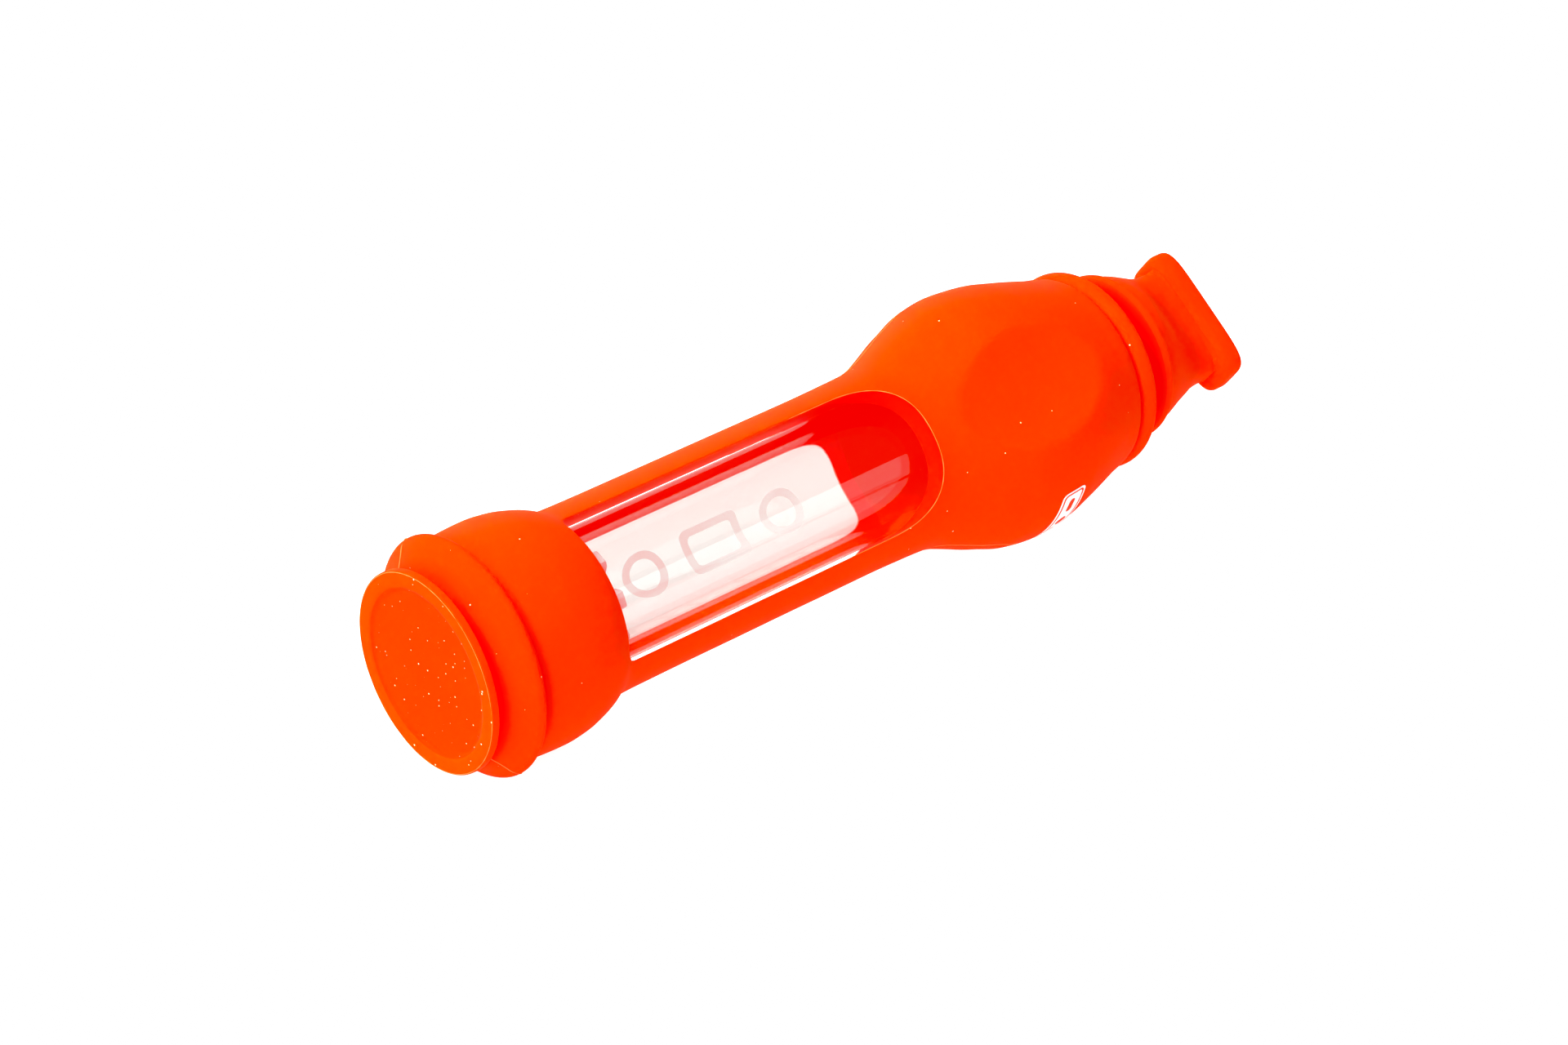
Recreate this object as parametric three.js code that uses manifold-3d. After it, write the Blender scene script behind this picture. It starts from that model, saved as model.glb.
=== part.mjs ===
// Glass hand pipe in a silicone sleeve, with a stopper in the bowl end and a mouthpiece in the other.
//
// Millimetres, +Z up. The pipe lies on its side along +X, from the bowl stopper's disc at -X to the
// mouthpiece's lip at +X. The origin is on the surface that it lies on, below the middle of its length.
// Profiles are drawn as (x, r): x is the distance along the pipe from the face of the stopper's disc,
// and r the distance from the pipe's axis.

import * as THREE from 'three';
import { mergeVertices } from 'three/addons/utils/BufferGeometryUtils.js';
import Module from 'manifold-3d';

// Driving dimensions
const LENGTH = 118.2;
const BULB_R = 15.47;
const SIDES = 24;
const GAP = 0.3;
const TILT_DEG = 47.5;

const GLASS_R = 8.0;
const GLASS_WALL = 1.4;
const GLASS_START = 6.85;
const GLASS_END = 96.1;
const BORE_R = GLASS_R + GAP;
const GLASS_INNER_R = GLASS_R - GLASS_WALL;

const DISC_R = 11.87;
const BEAD_R = 14.15;
const COVE_R = 10.0;
const RECESS_R = 9.65;
const RECESS_DEPTH = 0.3;
const SLEEVE_START = 6.25;
const SLEEVE_END = 96.7;
const NECK_R = 10.99;
const LEFT_BULB_R = 13.45;

const STEM_R = GLASS_INNER_R - GAP;
const STOPPER_STEM_END = 13.0;
const MOUTH_START = SLEEVE_END + GAP;
const MOUTH_STEM_START = 90.0;
const RING_ONE_R = 12.31;
const RING_TWO_R = 10.38;
const VALLEY_R = 9.7;

const LIP_START = 114.7;
const LIP_HALF_LENGTH = 8.8;
const LIP_HALF_DEPTH = 3.75;
const LIP_ROUND = 1.2;
const LIP_CORNER = 1.5;
const LIP_OVERLAP = 0.8;
const LIP_TURN_DEG = 36;
const SQUEEZE_START = 104.5;
const SQUEEZE_END = 113;
const SQUEEZED_DEPTH = 0.4;
const AIRWAY_R = 2.4;
const SLOT_START = 107;
const SLOT_HALF_LENGTH = 4.6;
const SLOT_HALF_DEPTH = 1.3;

const WINDOW_START = 19.14;
const WINDOW_END = 66.6;
const WINDOW_HALF_WIDTH = 8.57;
const WINDOW_ROUND_END = 9.67;
const WINDOW_CORNER = 0.9;
const WINDOW_FULLNESS = 3.2;
const CUT_REACH = 20;

const DIMPLE_X = 80.4;
const DIMPLE_FLOOR = 12.75;
const DIMPLE_SEMI_AXES = [32, 12.3, 5];
const DIMPLE_TILT_DEG = 4.3;

const SCREEN_START = 21.2;
const SCREEN_END = 22.85;
const SCREEN_LOBES = 8;
const SCREEN_NOTCH_R = 4.4;
const SCREEN_LOBE_SWING = 0.9;
const SCREEN_TURN_DEG = 19.5;

const wasm = await Module();
wasm.setup();

const degrees = THREE.MathUtils.degToRad;
const v2 = (x, r) => new THREE.Vector2(x, r);

// A closed triangle mesh with shared corners and no flat triangles.
function closeUp(geometry) {
  geometry.deleteAttribute('normal');
  geometry.deleteAttribute('uv');
  const merged = mergeVertices(geometry, 1e-4);
  const corners = Array.from(merged.index.array);
  const kept = [];
  for (let i = 0; i < corners.length; i += 3) {
    const [a, b, c] = corners.slice(i, i + 3);
    if (a !== b && b !== c && c !== a) kept.push(a, b, c);
  }
  merged.setIndex(kept);
  return merged;
}

function toSolid(geometry) {
  const closed = closeUp(geometry);
  const vertProperties = new Float32Array(closed.attributes.position.array);
  const triVerts = new Uint32Array(closed.index.array);
  return new wasm.Manifold(new wasm.Mesh({ numProp: 3, vertProperties, triVerts }));
}

function toGeometry(solid) {
  const mesh = solid.getMesh();
  const geometry = new THREE.BufferGeometry();
  geometry.setAttribute('position', new THREE.BufferAttribute(mesh.vertProperties, 3));
  geometry.setIndex(new THREE.BufferAttribute(mesh.triVerts, 1));
  geometry.computeVertexNormals();
  return geometry;
}

// A solid turned about the pipe's axis from an (x, r) profile. Its flats, not its corners, are at r,
// and one of them faces down.
function turned(profile) {
  const spread = 1 / Math.cos(Math.PI / SIDES);
  const points = profile.map((p) => v2(p.y * spread, p.x));
  const geometry = new THREE.LatheGeometry(points, SIDES, Math.PI / SIDES);
  geometry.rotateZ(-Math.PI / 2);
  return toSolid(geometry);
}

function ring(start, end, innerR, outerR) {
  const corners = [[start, innerR], [start, outerR], [end, outerR], [end, innerR], [start, innerR]];
  return turned(corners.map(([x, r]) => v2(x, r)));
}

function rod(start, end, r) {
  return turned([v2(start, 0), v2(start, r), v2(end, r), v2(end, 0)]);
}

// The smooth curve through the given (x, r) points, with a few steps for each stretch.
function smooth(points, steps) {
  return new THREE.SplineCurve(points.map(([x, r]) => v2(x, r))).getPoints(steps);
}

// A flat outline in (x, w) pushed through the pipe along the direction turnDeg from straight up.
function pushedThrough(shape, reach, turnDeg, bevel = 0) {
  const options = { depth: 2 * (reach - bevel), bevelEnabled: bevel > 0, bevelThickness: bevel,
    bevelSize: bevel, bevelOffset: -bevel, bevelSegments: 2, curveSegments: 5 };
  const geometry = new THREE.ExtrudeGeometry(shape, options);
  geometry.translate(0, 0, bevel - reach);
  geometry.rotateX(degrees(turnDeg));
  return toSolid(geometry);
}

// Window: square at the bowl end with small corners, and a broad round end towards the grip.
function windowShape() {
  const shape = new THREE.Shape();
  const w = WINDOW_HALF_WIDTH;
  const c = WINDOW_CORNER;
  const endSteps = 14;
  shape.moveTo(WINDOW_START + c, w);
  shape.absarc(WINDOW_START + c, w - c, c, Math.PI / 2, Math.PI);
  shape.absarc(WINDOW_START + c, c - w, c, Math.PI, 1.5 * Math.PI);
  for (let i = 0; i <= endSteps; i += 1) {
    const angle = Math.PI * (i / endSteps - 0.5);
    const along = Math.cos(angle) ** (2 / WINDOW_FULLNESS);
    const across = Math.sign(angle) * Math.abs(Math.sin(angle)) ** (2 / WINDOW_FULLNESS);
    shape.lineTo(WINDOW_END + WINDOW_ROUND_END * (along - 1), w * across);
  }
  shape.closePath();
  return shape;
}

// The pair of grip dimples, one on each window's side of the bulb. Their floors rise a little with the
// bulb's far side, so that they lie evenly over it.
function dimple(turnDeg) {
  const [along, across, deep] = DIMPLE_SEMI_AXES;
  const geometry = new THREE.SphereGeometry(1, 40, 20);
  geometry.scale(along, across, deep);
  geometry.rotateY(degrees(-DIMPLE_TILT_DEG));
  geometry.translate(DIMPLE_X, 0, DIMPLE_FLOOR + deep);
  geometry.rotateX(degrees(turnDeg));
  return toSolid(geometry);
}

function sleeveSolid() {
  const leftBulb = smooth([[SLEEVE_START, 12.6], [7.1, 13.1], [11.87, LEFT_BULB_R], [14.5, 13.19],
    [17.58, 12.31], [19.1, 11.45]], 8);
  const neck = [v2(20.6, 11.14), v2(23.5, NECK_R), v2(57, NECK_R)];
  const rightBulb = smooth([[66.2, 11.17], [69.4, 11.95], [73.8, 13.62], [78.2, 15.12],
    [81.3, BULB_R], [86.1, 15.03], [90.5, 13.89], [94.1, 12.75], [95.8, 12.39], [SLEEVE_END, 12.0]], 18);
  const outer = [v2(SLEEVE_START, 0), ...leftBulb, ...neck, ...rightBulb, v2(SLEEVE_END, 0)];
  const openings = pushedThrough(windowShape(), CUT_REACH, TILT_DEG);
  return turned(outer)
    .subtract(rod(0, LENGTH, BORE_R))
    .subtract(openings)
    .subtract(dimple(TILT_DEG))
    .subtract(dimple(TILT_DEG + 180));
}

function stopperSolid() {
  const face = [v2(RECESS_DEPTH, 0), v2(RECESS_DEPTH, RECESS_R), v2(0, RECESS_R + 0.35),
    v2(0, DISC_R - 0.2), v2(0.2, DISC_R)];
  const groove = [v2(0.9, DISC_R), v2(1.05, COVE_R + 0.4), v2(1.3, COVE_R)];
  const bead = smooth([[1.65, COVE_R], [2.6, 11.2], [3.8, 12.8], [4.6, 13.85], [5.1, BEAD_R],
    [5.95, 13.4]], 10);
  const stem = [v2(5.95, STEM_R), v2(STOPPER_STEM_END - 0.5, STEM_R), v2(STOPPER_STEM_END, STEM_R - 0.5),
    v2(STOPPER_STEM_END, 0)];
  return turned([...face, ...groove, ...bead, ...stem]);
}

// The neck behind the second ring flattens towards the lip, so its round section is squeezed there.
function squeezedNeck(geometry) {
  const position = geometry.attributes.position;
  for (let i = 0; i < position.count; i += 1) {
    const along = THREE.MathUtils.smoothstep(position.getX(i), SQUEEZE_START, SQUEEZE_END);
    position.setZ(i, position.getZ(i) * THREE.MathUtils.lerp(1, SQUEEZED_DEPTH, along));
  }
  return geometry;
}

function mouthpieceSolid() {
  const stem = [v2(MOUTH_STEM_START, 0), v2(MOUTH_STEM_START, STEM_R - 0.5),
    v2(MOUTH_STEM_START + 0.5, STEM_R), v2(MOUTH_START, STEM_R)];
  const ringOne = smooth([[MOUTH_START, 11.4], [97.6, 12.15], [98.4, RING_ONE_R], [99.15, 12.0]], 6);
  const valley = [v2(99.45, VALLEY_R + 0.9), v2(99.8, VALLEY_R + 0.1), v2(101.1, VALLEY_R)];
  const ringTwo = smooth([[102.4, 10.1], [103.3, RING_TWO_R], [103.9, 10.05], [104.5, 9.77]], 6);
  const neckEnd = LIP_START + LIP_OVERLAP;
  const neck = smooth([[105.4, 9.55], [106.4, 9.2], [109.4, 8.17], [112.1, 7.38], [neckEnd, 7.9]], 10);
  const body = turned([...stem, ...ringOne, ...valley, ...ringTwo, ...neck, v2(neckEnd, 0)]);
  const flattened = toSolid(squeezedNeck(toGeometry(body)).rotateX(degrees(LIP_TURN_DEG)));

  const lipShape = new THREE.Shape();
  const near = LIP_START + LIP_CORNER;
  const far = LENGTH - LIP_CORNER;
  const side = LIP_HALF_LENGTH - LIP_CORNER;
  lipShape.absarc(near, side, LIP_CORNER, Math.PI / 2, Math.PI);
  lipShape.absarc(near, -side, LIP_CORNER, Math.PI, 1.5 * Math.PI);
  lipShape.absarc(far, -side, LIP_CORNER, 1.5 * Math.PI, 2 * Math.PI);
  lipShape.absarc(far, side, LIP_CORNER, 0, Math.PI / 2);
  const lip = pushedThrough(lipShape, LIP_HALF_DEPTH, LIP_TURN_DEG, LIP_ROUND);

  const slotShape = new THREE.Shape();
  slotShape.moveTo(SLOT_START, -AIRWAY_R);
  slotShape.lineTo(LENGTH + 1, -SLOT_HALF_LENGTH);
  slotShape.lineTo(LENGTH + 1, SLOT_HALF_LENGTH);
  slotShape.lineTo(SLOT_START, AIRWAY_R);
  const slot = pushedThrough(slotShape, SLOT_HALF_DEPTH, LIP_TURN_DEG);

  return flattened
    .add(lip)
    .subtract(rod(0, SLOT_START + 2, AIRWAY_R))
    .subtract(slot);
}

// The screen is a glass disc with scalloped edges: eight lobes reach the tube's wall, and the air
// passes between them.
function screenSolid() {
  const shape = new THREE.Shape();
  const lobeR = GLASS_INNER_R - GAP;
  const steps = SCREEN_LOBES * 8;
  const points = [];
  for (let i = 0; i < steps; i += 1) {
    const angle = (2 * Math.PI * i) / steps;
    const wave = THREE.MathUtils.clamp(0.5 + SCREEN_LOBE_SWING * Math.cos(SCREEN_LOBES * angle), 0, 1);
    const r = THREE.MathUtils.lerp(SCREEN_NOTCH_R, lobeR, wave);
    points.push(v2(r * Math.cos(angle), r * Math.sin(angle)));
  }
  shape.setFromPoints(points);
  const depth = SCREEN_END - SCREEN_START;
  const geometry = new THREE.ExtrudeGeometry(shape, { depth, bevelEnabled: false });
  geometry.rotateY(Math.PI / 2);
  geometry.translate(SCREEN_START, 0, 0);
  geometry.rotateX(degrees(SCREEN_TURN_DEG));
  return toSolid(geometry);
}

function silicone(color) {
  return new THREE.MeshStandardMaterial({ color, roughness: 0.55, metalness: 0, flatShading: true });
}

function clearGlass(color) {
  return new THREE.MeshStandardMaterial({ color, roughness: 0.05, metalness: 0, transparent: true,
    opacity: 0.35, flatShading: true });
}

const pieces = [
  ['sleeve', sleeveSolid(), silicone(0xfd4d03)],
  ['glass_tube', ring(GLASS_START, GLASS_END, GLASS_INNER_R, GLASS_R), clearGlass(0xe8eef0)],
  ['glass_screen', screenSolid(), clearGlass(0xdfe8ea)],
  ['bowl_stopper', stopperSolid(), silicone(0xfd5203)],
  ['mouthpiece', mouthpieceSolid(), silicone(0xfd4a03)],
];

const pipe = new THREE.Group();
pipe.position.set(-LENGTH / 2, 0, BULB_R);
for (const [name, solid, material] of pieces) {
  const mesh = new THREE.Mesh(toGeometry(solid), material);
  mesh.name = name;
  pipe.add(mesh);
}

export default pipe;
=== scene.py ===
"""Looks of a glass hand pipe in an orange silicone sleeve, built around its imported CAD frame.

Every length below is in millimetres along the pipe's own axes, until put() turns it into a point of
the frame in metres: x runs along the pipe from the face of the stopper's disc, h points out of the
upper window, and w lies across it.
"""

import math

import bmesh
import bpy
import numpy as np
from mathutils import Matrix, Vector, noise


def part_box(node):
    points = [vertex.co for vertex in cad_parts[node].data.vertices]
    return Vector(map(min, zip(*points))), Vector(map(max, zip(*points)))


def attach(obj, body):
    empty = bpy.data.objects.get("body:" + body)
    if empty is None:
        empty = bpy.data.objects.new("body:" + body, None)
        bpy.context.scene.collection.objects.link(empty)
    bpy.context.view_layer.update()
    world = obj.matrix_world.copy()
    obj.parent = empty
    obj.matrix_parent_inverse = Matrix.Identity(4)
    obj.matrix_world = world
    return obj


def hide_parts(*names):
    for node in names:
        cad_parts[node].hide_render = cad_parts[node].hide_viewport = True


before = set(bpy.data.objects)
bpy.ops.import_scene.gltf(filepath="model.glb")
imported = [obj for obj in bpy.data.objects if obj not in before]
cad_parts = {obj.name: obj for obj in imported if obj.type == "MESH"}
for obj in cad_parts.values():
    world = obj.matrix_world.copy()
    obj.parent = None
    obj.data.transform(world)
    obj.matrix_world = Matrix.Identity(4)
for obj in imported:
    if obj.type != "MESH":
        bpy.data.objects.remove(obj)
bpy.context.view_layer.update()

MM = 0.001
GLASS_LOW, GLASS_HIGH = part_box("glass_tube")
STOPPER_LOW, STOPPER_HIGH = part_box("bowl_stopper")
SLEEVE_LOW, SLEEVE_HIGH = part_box("sleeve")
MOUTH_LOW, MOUTH_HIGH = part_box("mouthpiece")
SCREEN_LOW, SCREEN_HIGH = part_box("glass_screen")

START = STOPPER_LOW.x
AXIS_Y = 0.5 * (GLASS_LOW.y + GLASS_HIGH.y)
AXIS_Z = 0.5 * (GLASS_LOW.z + GLASS_HIGH.z)
WINDOW_TURN = math.radians(47.5)
LIP_TURN = math.radians(36.0)


def along(x):
    """Millimetres from the disc's face, for a place along the frame's X."""
    return (x - START) / MM


def pipe_place(point):
    """The (x, r) of a point of the frame."""
    return along(point[0]), math.hypot(point[1] - AXIS_Y, point[2] - AXIS_Z) / MM


def put(x, w, h, turn=WINDOW_TURN):
    """The frame's point for a place x along the pipe, w across and h out at this turn about its axis."""
    out = (-math.sin(turn), math.cos(turn))
    across = (-math.cos(turn), -math.sin(turn))
    y = AXIS_Y + MM * (h * out[0] + w * across[0])
    z = AXIS_Z + MM * (h * out[1] + w * across[1])
    return (START + MM * x, y, z)


# Sizes

LENGTH = along(MOUTH_HIGH.x)
GLASS_R = 0.5 * (GLASS_HIGH.z - GLASS_LOW.z) / MM
GLASS_INNER_R = GLASS_R - 1.4
GLASS_START = along(GLASS_LOW.x)
GLASS_END = along(GLASS_HIGH.x)
SLEEVE_START = along(SLEEVE_LOW.x)
SLEEVE_END = along(SLEEVE_HIGH.x)
BORE_R = GLASS_R + 0.05
STEM_R = GLASS_INNER_R - 0.06
BULB_R = 0.5 * (SLEEVE_HIGH.z - SLEEVE_LOW.z) / MM
BEAD_R = 0.5 * (STOPPER_HIGH.z - STOPPER_LOW.z) / MM
BULB_X = 81.3
BEAD_X = 5.1
DISC_R = 11.87
DISC_BACK = 1.05

WINDOW_START = 19.14
WINDOW_END = 66.6
WINDOW_HALF = 8.57
WINDOW_CORNER = 0.9
WINDOW_ROUND = 9.67
WINDOW_POWER = 3.2

FLASH_TURNS = (math.radians(-42.5), math.radians(137.5))
FLASH_WIDTH = 0.07
FLASH_THREAD = 0.05


# Curves


def pchip(points, x):
    """A smooth curve through (x, r) points that never swings past them."""
    px, py = np.array(points, float).T
    step = np.diff(px)
    slope = np.diff(py) / step
    d = np.zeros_like(py)
    for i in range(1, len(px) - 1):
        if slope[i - 1] * slope[i] > 0:
            a = 2 * step[i] + step[i - 1]
            b = step[i] + 2 * step[i - 1]
            d[i] = (a + b) / (a / slope[i - 1] + b / slope[i])
    d[0], d[-1] = slope[0], slope[-1]
    x = np.asarray(x, float)
    i = np.clip(np.searchsorted(px, x) - 1, 0, len(px) - 2)
    t = (x - px[i]) / step[i]
    low = (2 * t**3 - 3 * t**2 + 1) * py[i] + (t**3 - 2 * t**2 + t) * step[i] * d[i]
    high = (3 * t**2 - 2 * t**3) * py[i + 1] + (t**3 - t**2) * step[i] * d[i + 1]
    return low + high


def soft_curve(points, steps=5):
    """A soft curve through the points, with a few steps between each pair."""
    pts = np.array(points, float)
    pts = np.vstack([2 * pts[0] - pts[1], pts, 2 * pts[-1] - pts[-2]])
    curve = []
    for a, b, c, d in zip(pts, pts[1:], pts[2:], pts[3:]):
        for k in range(steps):
            t = k / steps
            bend = (2 * a - 5 * b + 4 * c - d) * t**2
            twist = (3 * b - a - 3 * c + d) * t**3
            curve.append(0.5 * (2 * b + (c - a) * t + bend + twist))
    curve.append(pts[-2])
    return np.array(curve)


def resample(line, count):
    """count + 1 points at even distances along a line of points."""
    line = np.asarray(line, float)
    length = np.concatenate([[0], np.cumsum(np.linalg.norm(np.diff(line, axis=0), axis=1))])
    wanted = np.linspace(0, length[-1], count + 1)
    return np.stack([np.interp(wanted, length, line[:, k]) for k in range(line.shape[1])], axis=1)


def arc(cx, cr, radius, start, end, steps=6):
    """Points on an arc of the (x, r) plane, with angles in degrees from +x towards +r."""
    angles = np.radians(np.linspace(start, end, steps + 1))
    return [(cx + radius * math.cos(a), cr + radius * math.sin(a)) for a in angles]


def smoothstep(low, high, value):
    t = min(max((value - low) / (high - low), 0.0), 1.0)
    return t * t * (3 - 2 * t)


# Meshes

TURNED_SEGMENTS = 192


def add_object(name, points, faces, sharp=35, weld=2e-6):
    """A welded, smooth-shaded mesh object whose edges are sharp past an angle in degrees."""
    mesh = bpy.data.meshes.new(name)
    mesh.from_pydata([tuple(p) for p in points], [], [tuple(f) for f in faces])
    bm = bmesh.new()
    bm.from_mesh(mesh)
    bmesh.ops.remove_doubles(bm, verts=bm.verts, dist=weld)
    bmesh.ops.dissolve_degenerate(bm, dist=1e-7, edges=bm.edges)
    bmesh.ops.recalc_face_normals(bm, faces=bm.faces)
    bm.to_mesh(mesh)
    bm.free()
    mesh.shade_smooth()
    mesh.set_sharp_from_angle(angle=math.radians(sharp))
    obj = bpy.data.objects.new(name, mesh)
    bpy.context.scene.collection.objects.link(obj)
    return obj


def grid_faces(rows, columns, offset=0, wrap_rows=False, wrap_columns=False):
    """Quads of a grid of points stored row by row."""
    faces = []
    for i in range(rows if wrap_rows else rows - 1):
        for j in range(columns if wrap_columns else columns - 1):
            a = offset + i * columns + j
            b = offset + i * columns + (j + 1) % columns
            c = offset + ((i + 1) % rows) * columns + (j + 1) % columns
            d = offset + ((i + 1) % rows) * columns + j
            faces.append((a, b, c, d))
    return faces


def turned(name, profile, closed=False):
    """A piece turned about the pipe's axis from an (x, r) profile, closed on itself or on the axis."""
    points = []
    for x, r in profile:
        for j in range(TURNED_SEGMENTS):
            angle = 2 * math.pi * j / TURNED_SEGMENTS
            points.append(put(x, r * math.sin(angle), r * math.cos(angle)))
    faces = grid_faces(len(profile), TURNED_SEGMENTS, wrap_rows=closed, wrap_columns=True)
    return add_object(name, points, faces)


def waver(obj, amount, scale, seed):
    """Moves a surface in and out a little, as a moulded soft piece does. amount and scale are in mm."""
    mesh = obj.data
    shift = Vector((seed, 2 * seed, 3 * seed))
    places = [v.co.copy() for v in mesh.vertices]
    normals = [v.normal.copy() for v in mesh.vertices]
    moved = []
    for place, normal in zip(places, normals):
        value = noise.noise(place / (scale * MM) + shift)
        moved += list(place + normal * (value * amount * MM))
    mesh.vertices.foreach_set("co", moved)
    mesh.update()


# The sleeve

SLEEVE_CURVE = [
    (6.25, 12.1), (6.4, 12.5), (6.75, 12.87), (7.3, 13.12), (8.2, 13.3), (11.87, 13.45),
    (14.5, 13.19), (16.26, 12.75), (17.58, 12.31), (18.6, 11.85), (19.3, 11.45), (19.9, 11.2),
    (20.8, 11.07), (23.0, 11.0), (30.0, 10.96),
    (57.0, 10.96), (63.0, 11.05), (66.6, 11.2), (68.6, 11.6), (70.3, 12.2), (72.1, 12.92), (73.8, 13.62),
    (75.6, 14.24), (78.2, 15.1), (81.3, 15.47), (83.5, 15.33), (86.1, 15.0), (87.9, 14.55), (90.5, 13.85),
    (92.7, 13.2), (94.1, 12.78), (95.8, 12.38), (96.7, 12.1),
]
CURVE_X = np.linspace(SLEEVE_CURVE[0][0], SLEEVE_CURVE[-1][0], 3000)
CURVE_R = pchip(SLEEVE_CURVE, CURVE_X)
DIMPLE_X = 80.4
DIMPLE_FLOOR = 12.75
DIMPLE_SLOPE = 0.0745
DIMPLE_BEND_LONG = 0.0024
DIMPLE_BEND_WIDE = 0.0165
DIMPLE_SOFT = 0.3
DIMPLE_REACH = 16
DIMPLE_SPREAD = 1.1
END_SEGMENTS = 48
SIDE_SEGMENTS = 76
EDGE_ROUND = 0.22
FACE_ROUND = 0.35
GRIP_ROUND = 0.8
SKIN_START = 16.6
SKIN_END = 69.2
SKIN_RINGS = 14


def curve_r(x):
    """The sleeve's outer radius at x, without its dimples."""
    return float(np.interp(x, CURVE_X, CURVE_R))


def sleeve_r(x, angle):
    """The sleeve's outer radius at x, at an angle from a window's middle, with the dimple's bowl in it."""
    r = curve_r(x)
    if abs(x - DIMPLE_X) > DIMPLE_REACH or angle > DIMPLE_SPREAD:
        return r
    bowl = r
    for _ in range(5):
        floor = DIMPLE_FLOOR + DIMPLE_SLOPE * (x - DIMPLE_X) + DIMPLE_BEND_LONG * (x - DIMPLE_X) ** 2
        bowl = (floor + DIMPLE_BEND_WIDE * (bowl * math.sin(angle)) ** 2) / math.cos(angle)
    near = max(DIMPLE_SOFT - abs(r - bowl), 0) / DIMPLE_SOFT
    return min(r, bowl) - near * near * DIMPLE_SOFT / 4


def window_outline():
    """Half of the window's outline in plan, (x, w) from its bowl end round to its grip end."""
    corner_x = WINDOW_START + WINDOW_CORNER
    line = [(WINDOW_START, w) for w in np.linspace(0, WINDOW_HALF - WINDOW_CORNER, 200)]
    line += arc(corner_x, WINDOW_HALF - WINDOW_CORNER, WINDOW_CORNER, 180, 90, 200)
    line += [(x, WINDOW_HALF) for x in np.linspace(corner_x, WINDOW_END - WINDOW_ROUND, 200)]
    for angle in np.linspace(math.pi / 2, 0, 3000):
        x = WINDOW_END - WINDOW_ROUND * (1 - max(math.cos(angle), 0) ** (2 / WINDOW_POWER))
        line.append((x, WINDOW_HALF * math.sin(angle) ** (2 / WINDOW_POWER)))
    line[-1] = (WINDOW_END, 0.0)
    return np.array(line)


def split_outline(line):
    """The outline as even steps: across the bowl end, along the side, and across the grip end.
    The ends stop where the cut is as wide as the bore, and the side goes on beyond it."""
    wide = np.nonzero(line[:, 1] > BORE_R)[0]
    first, last = wide[0], wide[-1]

    def at_bore(a, b):
        t = (BORE_R - a[1]) / (b[1] - a[1])
        return a + t * (b - a)

    left_point = at_bore(line[first - 1], line[first])
    right_point = at_bore(line[last + 1], line[last])
    left = resample(np.vstack([line[:first], left_point]), END_SEGMENTS)
    side = resample(np.vstack([left_point, line[first : last + 1], right_point]), SIDE_SEGMENTS)
    right = resample(np.vstack([right_point, line[last + 1 :]]), END_SEGMENTS)
    return np.vstack([left, side[1:], right[1:]])


def outline_normals(line):
    """Directions in plan that point out of the window into the silicone."""
    tangent = np.gradient(line, axis=0)
    tangent[0] = (0, 1)
    tangent[-1] = (0, -1)
    tangent /= np.linalg.norm(tangent, axis=1)[:, None]
    return np.stack([-tangent[:, 1], tangent[:, 0]], axis=1)


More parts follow.
